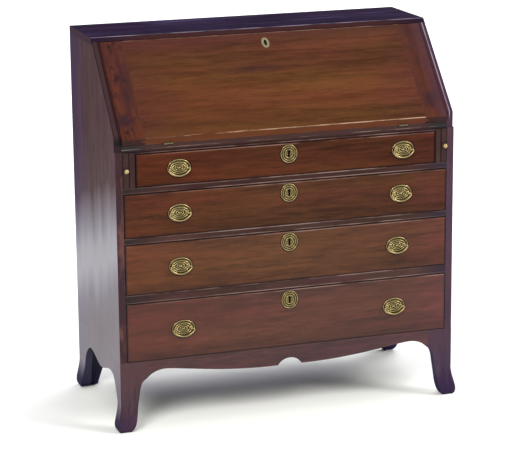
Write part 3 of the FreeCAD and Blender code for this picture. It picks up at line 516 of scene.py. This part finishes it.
# Fall: the slanted writing lid, a wide mahogany field with its grain across and a cleat tongued on at each
# end with its grain up the slope. Sun has bleached the field, its arrises are rubbed nearly bare and carry
# bright lines of wear and painted highlight, the cleats stayed red and are stained, and painted shadow
# darkens the cleats' outer arrises beside the sides.
fall_brown = (0.0720, 0.0233, 0.0072)
fall_red_shade, fall_left_shade = (0.78, 0.65, 1.60), (0.91, 0.91, 0.95)
fall_stain = (0.026, 0.0085, 0.0075)
fall_top = (0.036, 0.0115, 0.0125)
lip_red, inner_red = (0.105, 0.030, 0.014), (0.125, 0.041, 0.016)
fall_wear_and_highlight = (0.44, 0.285, 0.195)
cleat_red, cleat_blotch, cleat_stain = (0.061, 0.0140, 0.0079), (0.028, 0.0085, 0.0105), (0.014, 0.006, 0.007)
cleat_seam, cleat_right, cleat_end = (0.060, 0.0170, 0.0085), (0.052, 0.0215, 0.030), (0.018, 0.0115, 0.013)
slope_degrees = 47.5
slope_foot = (-0.230, 0.8399)
slope_length = 0.3231
fall_thickness = 0.018
cleat_half = 0.483


def on_slope(add, place):
    """Ways up the slope from its foot and out from the closed fall's face, at rest."""
    turn = math.radians(slope_degrees)
    away = add("VectorMath", {0: place, 1: (0.0, *slope_foot)}, operation="SUBTRACT").outputs["Vector"]
    ways = ((0.0, math.cos(turn), math.sin(turn)), (0.0, -math.sin(turn), math.cos(turn)))
    return [add("VectorMath", {0: away, 1: way}, operation="DOT_PRODUCT").outputs["Value"] for way in ways]


def lower_end(add, up):
    """1 on the lower end of the fall, 0 on its faces."""
    return ranged(add, up, 0.004, 0.001)


def fall_marks(add, place, colour):
    """Redder towards the ends and the top, duller to the left, a dark stain in the middle, a redder lower
    end and inner face, and lines of wear and painted highlight: a bright broken one along the lower arris,
    and fainter ones along the upper arris and the edge of the lip."""
    up, out = on_slope(add, place)
    across = axes_of(add, place)["X"]
    ends = ranged(add, reckon(add, "ABSOLUTE", across), 0.27, 0.42, 0.0, 0.6)
    high = ranged(add, up, 0.16, slope_length, 0.0, 0.5)
    colour = tint(add, either(add, ends, high), colour, fall_red_shade, "MULTIPLY")
    colour = tint(add, ranged(add, across, 0.1, -0.35), colour, fall_left_shade, "MULTIPLY")
    stain = both(add, near(add, up, 0.205, 0.020), near(add, across, -0.06, 0.13))
    colour = tint(add, both(add, stain, 0.8), colour, fall_stain)
    colour = tint(add, ranged(add, up, slope_length - 0.045, slope_length, 0.0, 0.45), colour, fall_top)
    low_end = lower_end(add, up)
    colour = tint(add, both(add, ranged(add, out, -0.0015, -0.004, 0.0, 0.6), low_end), colour, lip_red)
    inner = ranged(add, out, 0.0008 - fall_thickness, 0.0002 - fall_thickness, 0.0, 0.55)
    colour = tint(add, inner, colour, inner_red)
    # bright lines along the arrises: rubbed wear and painted highlight
    face = ranged(add, out, -0.003, -0.0012)
    lower = both(add, near(add, up, 0.0012, 0.0020), face, ranged(add, across, -0.42, -0.22, 0.2, 1.0))
    upper = both(add, near(add, up, slope_length, 0.003), face)
    lip = both(add, near(add, out, 0.0012 - fall_thickness, 0.0022), low_end)
    faint = either(add, upper, both(add, lip, 0.15))
    lines = either(add, lower, both(add, faint, 0.6))
    broken = worn_through(add, place, 90.0, 0.42, 0.6, length=8.0)
    return tint(add, both(add, lines, broken), colour, fall_wear_and_highlight)


def cleat_marks(add, place, colour):
    """Broad purple blotches, dark stains drawn out up the slope on the left one, the field's colour beside
    the seam, a purple right edge, painted shadow on the outer arrises and a dark lower end."""
    up, out = on_slope(add, place)
    axes = axes_of(add, place)
    across = reckon(add, "ABSOLUTE", axes["X"])
    blotch = ranged(add, cloudy(add, place, 11.0, 3.0, 0.6), 0.43, 0.57)
    colour = tint(add, blotch, colour, cleat_blotch)
    flat = add("CombineXYZ", {"X": axes["X"], "Y": both(add, up, 0.4)}).outputs["Vector"]
    stains = ranged(add, cloudy(add, flat, 60.0, 2.0, 0.6), 0.53, 0.65, 0.0, 0.85)
    colour = tint(add, both(add, stains, ranged(add, axes["X"], 0.0, -0.1)), colour, cleat_stain)
    seam = ranged(add, across, cleat_half - 0.066, cleat_half - 0.040, 0.7, 0.0)
    colour = tint(add, seam, colour, cleat_seam)
    colour = tint(add, ranged(add, axes["X"], 0.445, 0.475, 0.0, 0.6), colour, cleat_right)
    # painted shadow along the outer arris, in the gap beside the side's edge
    colour = tint(add, both(add, near(add, across, cleat_half, 0.002), 0.4), colour, joint_dirt_and_shadow_dark)
    end = both(add, ranged(add, out, -0.0015, -0.004, 0.0, 0.7), lower_end(add, up))
    return tint(add, end, colour, cleat_end)


fall_wood = aged_wood("fall_mahogany", "x", fall_brown, seed=11.0, shine=0.05, marks=fall_marks)
cleat_wood = aged_wood("cleat_mahogany", "y", cleat_red, seed=12.0, tilt=-slope_degrees, shine=0.06,
                       marks=cleat_marks)
dress(fall_wood, "fall_panel")
dress(cleat_wood, "fall_cleats")


# Lopers: two mahogany slides that are drawn out to carry the open fall. Their front ends show beside the
# top drawer, with dark gaps of painted shadow on both sides.
loper_dark = (0.035, 0.0160, 0.0160)
loper_gaps = ((0.4653, 0.0030), (0.4837, 0.0042))

loper_wood = aged_wood("loper_mahogany", "y", loper_dark, seed=13.0, figure=0.7, marks=gap_shadow_marks(loper_gaps))
dress(loper_wood, "left_loper", "right_loper")


# Drawer fronts: four mahogany boards that grow deeper downwards, grain across, flush in their openings. Each
# is from its own board, so colour and figure differ; painted shadow darkens the edges by the gaps, dirt and
# painted shadow ring the brasses, and the upper arris has a pale line of rubbed wear and painted highlight.
# The boxes behind are of plain pine.
front_colours = ((0.055, 0.0150, 0.0056), (0.058, 0.0190, 0.0068), (0.073, 0.0260, 0.0096),
                 (0.059, 0.0178, 0.0106))
front_shines = (0.07, 0.11, 0.18, 0.28)
front_left_shade, front_right_shade = (1.0, 0.78, 0.80), (0.84, 0.80, 0.88)
front_end_shade = (1.29, 1.14, 1.6)
front_wear_and_highlight = (0.30, 0.19, 0.16)
pull_half = (0.0335, 0.0255)
plate_half = (0.0252, 0.0266)
pull_places = ((-0.323, 0.346, 0.7515), (-0.323, 0.340, 0.6237), (-0.323, 0.330, 0.4703),
               (-0.318, 0.321, 0.2878))
keyhole_heights = (0.7664, 0.6541, 0.5106, 0.3406)
# the dark round each brass is moved down and to the right as a painted shadow
shadow_shift_right, shadow_shift_down = 0.0008, 0.0012


def oval_reach(add, across, along, half):
    """Distance from an oval's centre, given across and along the oval, as a share of its half sizes."""
    shares = {"X": reckon(add, "DIVIDE", across, half[0]), "Y": reckon(add, "DIVIDE", along, half[1])}
    place = add("CombineXYZ", shares).outputs["Vector"]
    return add("VectorMath", {0: place}, operation="LENGTH").outputs["Value"]


def dirt_and_shadow_round(add, axes, centre_x, centre_z, half):
    """1 under an oval brass, falling to 0 a few millimetres outside it and a little lower and to the right:
    dirt and painted shadow round the brass.
    """
    across = reckon(add, "SUBTRACT", axes["X"], centre_x + shadow_shift_right)
    along = reckon(add, "SUBTRACT", axes["Z"], centre_z - shadow_shift_down)
    return ranged(add, oval_reach(add, across, along, half), 1.0, 1.14, 0.9, 0.0)


def front_marks(low, high, pulls, key_height):
    """Marks of one front: redder to the left, darker to the right and purple at the right end, with edges
    darkened beside the gaps by painted shadow, dirt and painted shadow round the brasses, and a pale broken
    line of wear and painted highlight below the upper arris."""
    left, right, pull_height = pulls

    def marks(add, place, colour):
        axes = axes_of(add, place)
        colour = tint(add, ranged(add, axes["X"], 0.0, -0.45), colour, front_left_shade, "MULTIPLY")
        colour = tint(add, ranged(add, axes["X"], 0.06, 0.46), colour, front_right_shade, "MULTIPLY")
        colour = tint(add, ranged(add, axes["X"], 0.34, 0.45), colour, front_end_shade, "MULTIPLY")
        dirt_and_shadow = either(add, dirt_and_shadow_round(add, axes, 0.0, key_height, plate_half),
                      *(dirt_and_shadow_round(add, axes, centre, pull_height, pull_half) for centre in (left, right)))
        colour = tint(add, dirt_and_shadow, colour, joint_dirt_and_shadow_dark)
        from_left = ranged(add, axes["X"], -0.45, -0.1, 0.2, 1.0)
        broken = worn_through(add, place, 70.0, 0.42, 0.60, 0.70)
        line = both(add, near(add, axes["Z"], high[2] - 0.0030, 0.0020), from_left, broken)
        colour = tint(add, line, colour, front_wear_and_highlight)
        # dark edges and rims at the gaps: painted shadow
        ends = either(add, near(add, axes["X"], low[0], 0.0062), near(add, axes["X"], high[0], 0.0056))
        rims = either(add, near(add, axes["Z"], high[2], 0.0024), near(add, axes["Z"], low[2], 0.0040))
        return tint(add, both(add, either(add, ends, rims), on_front(add, place)), colour, joint_dirt_and_shadow_dark)
    return marks


for row, number in enumerate(drawer_numbers):
    marks = front_marks(*drawer_boxes[row], pull_places[row], keyhole_heights[row])
    front_wood = aged_wood(f"drawer_{number}_mahogany", "x", front_colours[row], seed=21.0 + row, figure=1.2,
                           clouds=0.11, shine=front_shines[row], marks=marks)
    dress(front_wood, f"drawer_{number}_front")
    dress(bare_pine, f"drawer_{number}_box")


# Locks, hinges and knobs: iron lock cases with sliding bolts, let into the backs of the fall and the drawer
# fronts, brass butt hinges under the fall, the lopers' brass knobs, and an oval brass plate let in flush
# round the fall's keyhole. Iron has gone brown and dull, and brass is dark where hands do not reach.
iron_grey, rust_brown = (0.12, 0.115, 0.11), (0.075, 0.035, 0.018)
pull_bright, pull_dull = (0.350, 0.275, 0.125), (0.060, 0.046, 0.020)
hinge_bright, hinge_dull = (0.19, 0.165, 0.10), (0.035, 0.030, 0.018)
inlay_bright, inlay_dull = (0.30, 0.265, 0.15), (0.012, 0.009, 0.006)
keyhole_half = (0.0066, 0.0150)
keyhole_drop = 0.035


def old_iron(name):
    """Dull forged iron: round noise mixes grey metal with brown rust, and rust is rougher than metal."""
    finish, shader, add, join = new_finish(name)
    rust = cloudy(add, add("TexCoord").outputs["Object"], 90.0, 6.0, 0.7)
    share = ranged(add, rust, 0.42, 0.68)
    bump = add("Bump", {"Height": rust, "Strength": 0.3, "Distance": 0.0005})
    join(shader, {"Base Color": tint(add, share, iron_grey, rust_brown), "Metallic": 0.8,
                  "Roughness": ranged(add, share, 0.0, 1.0, 0.42, 0.8), "Normal": bump.outputs["Normal"]})
    return finish


def old_brass(name, bright, tarnish, share=(0.42, 0.72), rough=(0.24, 0.5), hollow=None):
    """Hand-polished brass: tarnish keeps to hollows, given by the recess attribute of stamped pieces or by a
    function of the place, and to cloudy patches of noise; it is rougher than bright metal. Fine noise makes
    small dents."""
    finish, shader, add, join = new_finish(name)
    place = add("TexCoord").outputs["Object"]
    recess = hollow(add, place) if hollow else add("Attribute", attribute_name="recess").outputs["Fac"]
    patches = ranged(add, cloudy(add, place, 110.0, 5.0, 0.65), *share, 0.0, 0.8)
    dull = ranged(add, reckon(add, "ADD", recess, patches), 0.0, 1.0)
    bump = add("Bump", {"Height": cloudy(add, place, 420.0), "Strength": 0.1, "Distance": 0.0003})
    join(shader, {"Base Color": tint(add, dull, bright, tarnish), "Metallic": 1.0,
                  "Roughness": ranged(add, dull, 0.0, 1.0, *rough), "Normal": bump.outputs["Normal"]})
    return finish


def keyhole_field(add, place):
    """1 in the narrow dark oval round the fall's keyhole, 0 on the rest of its plate."""
    along = reckon(add, "SUBTRACT", on_slope(add, place)[0], slope_length - keyhole_drop)
    return ranged(add, oval_reach(add, axes_of(add, place)["X"], along, keyhole_half), 0.76, 0.62)


iron = old_iron("lock_iron")
brass = old_brass("pull_brass", pull_bright, pull_dull, share=(0.56, 0.88), rough=(0.30, 0.48))
dull_brass = old_brass("hinge_brass", hinge_bright, hinge_dull)
pale_brass = old_brass("inlaid_brass", inlay_bright, inlay_dull, share=(0.5, 0.9), hollow=keyhole_field)
dress(iron, "fall_lock", "fall_lock_bolt")
for number in drawer_numbers:
    dress(iron, f"drawer_{number}_lock", f"drawer_{number}_lock_bolt")
dress(dull_brass, "fall_hinge_leaves", "bed_hinge_leaves")
dress(brass, "left_loper_knob", "right_loper_knob")
dress(pale_brass, "fall_escutcheon")


# Drawer brasses: oval plates stamped from sheet, with a round rim and raised rings round a small dome. Two
# cast posts go through each plate and the drawer front to nuts inside, and hold a swinging bail.
# Each drawer also has a stamped oval plate with raised rings round its keyhole.
mm = 0.001
sheet, rim_edge, ring_top = 1.0, 0.6, 0.9
ring_flattening = 0.5
post_apart, post_recess = 0.0217, 0.3
pull_rings = ((0.955, 0.038, 1.6), (0.73, 0.045, 1.2), (0.53, 0.045, 1.2), (0.33, 0.045, 1.3),
              (0.0, 0.15, 1.7))
keyplate_rings = ((0.94, 0.06, 1.7), (0.71, 0.05, 1.1), (0.46, 0.06, 1.5))
keyplate_middle, middle_recess, keyplate_recess = 0.37, 0.7, 0.25
ball_radius, ball_height = 4.2, 9.0


def ringed_height(t, rings):
    """Height in mm of a plate at t, the distance from its centre as a share of the oval: the sheet and the
    tallest half-round ring there, each the root of one less the squared distance from its middle over its
    half width."""
    raised = [height * np.sqrt(np.clip(1.0 - ((t - middle) / half) ** 2, 0.0, None))
              for middle, half, height in rings]
    return sheet + np.maximum.reduce(raised)


def ellipse_grid(centre_x, centre_z, half, t, angle, height):
    """Points of an embossed oval, and how hollow each is: 1 on the sheet, falling to 0 on top of a ring."""
    recess = np.clip(1.0 - (height - sheet) / ring_top, 0.0, 1.0)
    points = np.stack(np.broadcast_arrays(
        centre_x + half[0] * t * np.cos(angle),
        front_face - mm * height,
        centre_z + half[1] * t * np.sin(angle)), axis=-1)
    return points, np.broadcast_to(recess, points.shape[:2])


def stamped_pull(centre_x, centre_z):
    """Grid of an oval plate: t goes out from the centre to the rim and the angle round it. x and z follow the
    ellipse, y the height; two last rows go down to the wood and back to the middle. Rings nearer the centre
    are flatter ovals: t counts for up to half more above and below it."""
    t = np.concatenate([np.linspace(0.0, 1.0, 72), [1.0, 0.0]])[:, None]
    angle = np.linspace(0.0, 2.0 * np.pi, 120, endpoint=False)[None, :]
    height = ringed_height(t * (1.0 + ring_flattening * (1.0 - t) * np.sin(angle) ** 2), pull_rings)
    height[-3] = rim_edge
    height[-2:] = 0.0
    return ellipse_grid(centre_x, centre_z, pull_half, t, angle, height)


def stamped_keyplate(centre_z):
    """Grid of a keyhole plate: rows go from the keyhole's outline out to the oval, and back behind. The
    outline, as a distance from the plate's centre, is the larger of the way to the end of the slot and, where
    the ray meets it, to the far side of the round eye above. The plate is duller than the pulls, and most so
    inside its rings."""
    eye, eye_rise, slot_half, slot_drop = 0.0042, 0.0052, 0.0028, 0.0098
    angle = np.linspace(0.0, 2.0 * np.pi, 360, endpoint=False)
    across, along = np.cos(angle), np.sin(angle)
    slot_end = np.where(along < 0.0, slot_drop, eye_rise) / np.maximum(np.abs(along), 1e-9)
    slot = np.minimum(slot_half / np.maximum(np.abs(across), 1e-9), slot_end)
    half_chord = np.sqrt(np.clip(eye ** 2 - (eye_rise * across) ** 2, 0.0, None))
    outline = np.maximum(slot, np.where(half_chord > 0.0, eye_rise * along + half_chord, 0.0))
    rim = 1.0 / np.hypot(across / plate_half[0], along / plate_half[1])
    way = np.concatenate([[0.0], np.linspace(0.0, 1.0, 64), [1.0, 0.0]])[:, None]
    reach = (outline + way * (rim - outline)) / rim
    height = ringed_height(reach, keyplate_rings)
    height[-3] = rim_edge
    height[[0, -2, -1]] = 0.0
    round_angle = np.arctan2(plate_half[0] * along, plate_half[1] * across)[None, :]
    points, recess = ellipse_grid(0.0, centre_z, plate_half, reach, round_angle, height)
    return points, np.where(reach < keyplate_middle, middle_recess, np.maximum(recess, keyplate_recess))


def turned_post(centre_x, centre_z):
    """Grid of a post turned about y: its outline in radius and height, in mm, goes from the nut inside the
    drawer, along the shank and the collar, to the ball that the bail swings in."""
    ball = np.radians(np.linspace(-50.0, 90.0, 14))
    outline = np.concatenate([
        [(0.0, -25.0), (5.9, -25.0), (6.5, -24.4), (6.5, -21.6), (6.1, -21.0), (2.5, -21.0), (2.5, 0.0)],
        [(5.4, 0.9), (5.4, 1.7), (4.9, 2.2), (3.6, 2.6), (2.7, 3.6), (2.5, 4.6)],
        np.stack([ball_radius * np.cos(ball), ball_height + ball_radius * np.sin(ball)], axis=1)])
    angle = np.linspace(0.0, 2.0 * np.pi, 28, endpoint=False)[None, :]
    radius, height = outline[:, :1] * mm, outline[:, 1:] * mm
    points = np.stack(np.broadcast_arrays(
        centre_x + radius * np.cos(angle),
        front_face - height,
        centre_z + radius * np.sin(angle)), axis=-1)
    return points, np.full(points.shape[:2], post_recess)


def closed_mesh(name, grids):
    """One mesh of several grids. Row i of a grid is one turn round, so each quad joins two neighbours of a
    row to the same two of the next; points that fall together at seams and poles are merged."""
    points, quads, hollow, start = [], [], [], 0
    for grid, recess in grids:
        rows, steps = grid.shape[:2]
        row = np.arange(rows - 1)[:, None] * steps
        step, after = np.arange(steps)[None, :], (np.arange(steps)[None, :] + 1) % steps
        quads.append(np.stack([row + step, row + after, row + steps + after, row + steps + step],
                              axis=-1).reshape(-1, 4) + start)
        points.append(grid.reshape(-1, 3))
        hollow.append(recess.reshape(-1))
        start += rows * steps
    mesh = bpy.data.meshes.new(name)
    mesh.from_pydata(np.concatenate(points).tolist(), [], np.concatenate(quads).tolist())
    mesh.attributes.new("recess", "FLOAT", "POINT").data.foreach_set("value", np.concatenate(hollow))
    work = bmesh.new()
    work.from_mesh(mesh)
    bmesh.ops.remove_doubles(work, verts=work.verts, dist=1e-6)
    bmesh.ops.recalc_face_normals(work, faces=work.faces)
    work.to_mesh(mesh)
    work.free()
    mesh.shade_smooth()
    mesh.set_sharp_from_angle(angle=math.radians(50.0))
    piece = bpy.data.objects.new(name, mesh)
    bpy.context.scene.collection.objects.link(piece)
    return piece


for number, ((left, right, height), key_height) in enumerate(zip(pull_places, keyhole_heights), 1):
    grids = [stamped_keyplate(key_height)]
    for centre in (left, right):
        grids.append(stamped_pull(centre, height))
        grids += [turned_post(centre + side * post_apart, height) for side in (-1, 1)]
    brasses = closed_mesh(f"drawer_{number}_brass_set", grids)
    brasses.data.materials.append(brass)
    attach(brasses, f"drawer_{number}")
    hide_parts(f"drawer_{number}_brasses")
    dress(brass, f"drawer_{number}_left_bail", f"drawer_{number}_right_bail")


# Studio: a pale floor, broad soft lights from the right, from the left and from behind, and a room that is
# bright above and dim towards the horizon, bluish behind the desk, as a large studio is.
floor_reach = 300.0
floor_pale, floor_paler = (0.885, 0.90, 0.870), (0.915, 0.93, 0.900)
wall_stops = ((0.0, (0.11, 0.11, 0.11)), (0.35, (0.15, 0.15, 0.155)), (0.75, (1.0, 1.0, 1.0)))
backdrop_way = (0.311, 0.919, 0.242)
backdrop_stops = ((0.75, (1.0, 1.0, 1.0)), (0.93, (0.72, 0.5, 1.5)))
camera_place = (-1.9556, -5.7072, 2.0084)
camera_yaw, camera_pitch, camera_roll = 18.72, 14.09, -0.53
lens_length, film_width = 148.73, 36.0

floor_corners = [(side * floor_reach, end * floor_reach, 0.0)
                 for side, end in ((-1, -1), (1, -1), (1, 1), (-1, 1))]
floor_mesh = bpy.data.meshes.new("floor")
floor_mesh.from_pydata(floor_corners, [], [(0, 1, 2, 3)])
floor = bpy.data.objects.new("floor", floor_mesh)
bpy.context.scene.collection.objects.link(floor)
floor_finish, floor_shader, add_floor, join_floor = new_finish("pale_floor")
floor_cloud = cloudy(add_floor, add_floor("TexCoord").outputs["Object"], 1.2)
join_floor(floor_shader, {"Base Color": tint(add_floor, floor_cloud, floor_pale, floor_paler),
                          "Roughness": 0.8, "Specular IOR Level": 0.0})
floor_mesh.materials.append(floor_finish)


def soft_sun(name, azimuth, elevation, softness, strength, colour):
    """A broad far light from an azimuth, turned from the front to the right, and an elevation, in degrees."""
    lamp = bpy.data.lights.new(name, "SUN")
    lamp.angle, lamp.energy, lamp.color = math.radians(softness), strength, colour
    turn, rise = math.radians(azimuth), math.radians(elevation)
    towards = Vector((math.sin(turn) * math.cos(rise), -math.cos(turn) * math.cos(rise), math.sin(rise)))
    light = bpy.data.objects.new(name, lamp)
    light.rotation_euler = towards.to_track_quat("Z", "Y").to_euler()
    bpy.context.scene.collection.objects.link(light)


soft_sun("right_light", 56.0, 28.0, 22.0, 2.08, (1.0, 0.98, 0.96))
soft_sun("left_light", -38.0, 37.0, 24.0, 2.03, (1.0, 0.97, 0.94))
soft_sun("back_light", 125.0, 48.0, 50.0, 1.5, (1.0, 1.0, 1.0))

room = bpy.data.worlds.new("studio_room")
room.use_nodes = True
add_room, join_room = node_tools(room.node_tree)
direction = add_room("TexCoord").outputs["Generated"]
walls = shades(add_room, axes_of(add_room, direction)["Z"], wall_stops)
towards_backdrop = add_room("VectorMath", {0: direction, 1: backdrop_way}, operation="DOT_PRODUCT")
backdrop = shades(add_room, towards_backdrop.outputs["Value"], backdrop_stops)
join_room(room.node_tree.nodes["Background"], {"Color": tint(add_room, 1.0, walls, backdrop, "MULTIPLY")})
bpy.context.scene.world = room
bpy.context.scene.view_settings.view_transform = "Standard"

yaw, pitch, roll = (math.radians(angle) for angle in (camera_yaw, camera_pitch, camera_roll))
ahead = Vector((math.sin(yaw) * math.cos(pitch), math.cos(yaw) * math.cos(pitch), -math.sin(pitch)))
level_right = Vector((math.cos(yaw), -math.sin(yaw), 0.0))
level_up = level_right.cross(ahead)
right = math.cos(roll) * level_right + math.sin(roll) * level_up
up = math.cos(roll) * level_up - math.sin(roll) * level_right
lens = bpy.data.cameras.new("camera")
lens.lens, lens.sensor_width, lens.sensor_fit = lens_length, film_width, "HORIZONTAL"
camera = bpy.data.objects.new("camera", lens)
camera.matrix_world = Matrix.Translation(camera_place) @ Matrix((right, up, -ahead)).transposed().to_4x4()
bpy.context.scene.collection.objects.link(camera)
bpy.context.scene.camera = camera
